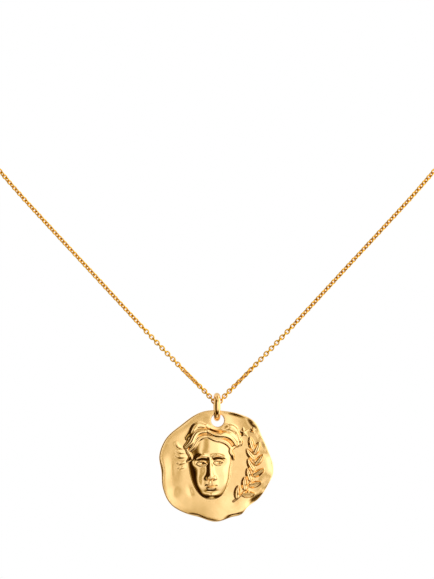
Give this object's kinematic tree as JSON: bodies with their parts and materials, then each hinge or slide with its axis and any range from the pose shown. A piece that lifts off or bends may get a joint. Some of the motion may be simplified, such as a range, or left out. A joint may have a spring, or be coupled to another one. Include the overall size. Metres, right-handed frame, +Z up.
{
  "type": "zodiac pendant necklace",
  "caption": "Gold medallion with an uneven hammered rim, a raised classical head, a laurel sprig and stars, hung by a round ring on a fine cable chain with a bolt ring clasp.",
  "frame": {"origin": "the nape: where the bolt ring and the chain bear on the back of the wearer's neck", "axes": "+X is the viewer's right as the medallion is seen from the front, -Y is the front and +Z is up"},
  "size_m": [0.1332, 0.1059, 0.129],
  "materials": {
    "gold_chain": "polished gold plating",
    "gold_fitting": "polished gold plating",
    "gold_medallion": "satin polished gold plating"
  },
  "bodies": {
    "necklace": {"chain": "gold_chain", "clasp": "gold_fitting"},
    "bail": {"bail_ring": "gold_fitting"},
    "pendant": {"medallion": "gold_medallion"}
  },
  "joints": [
    {"name": "bail_swing", "type": "hinge", "parent": "necklace", "child": "bail", "pos_m": [0, -0.10145, -0.1], "axis": [1, 0, 0], "range_deg": [-90, 90]},
    {"name": "pendant_swing", "type": "hinge", "parent": "bail", "child": "pendant", "pos_m": [0, -0.10145, -0.10347], "axis": [0, 1, 0], "range_deg": [-30, 30]}
  ]
}
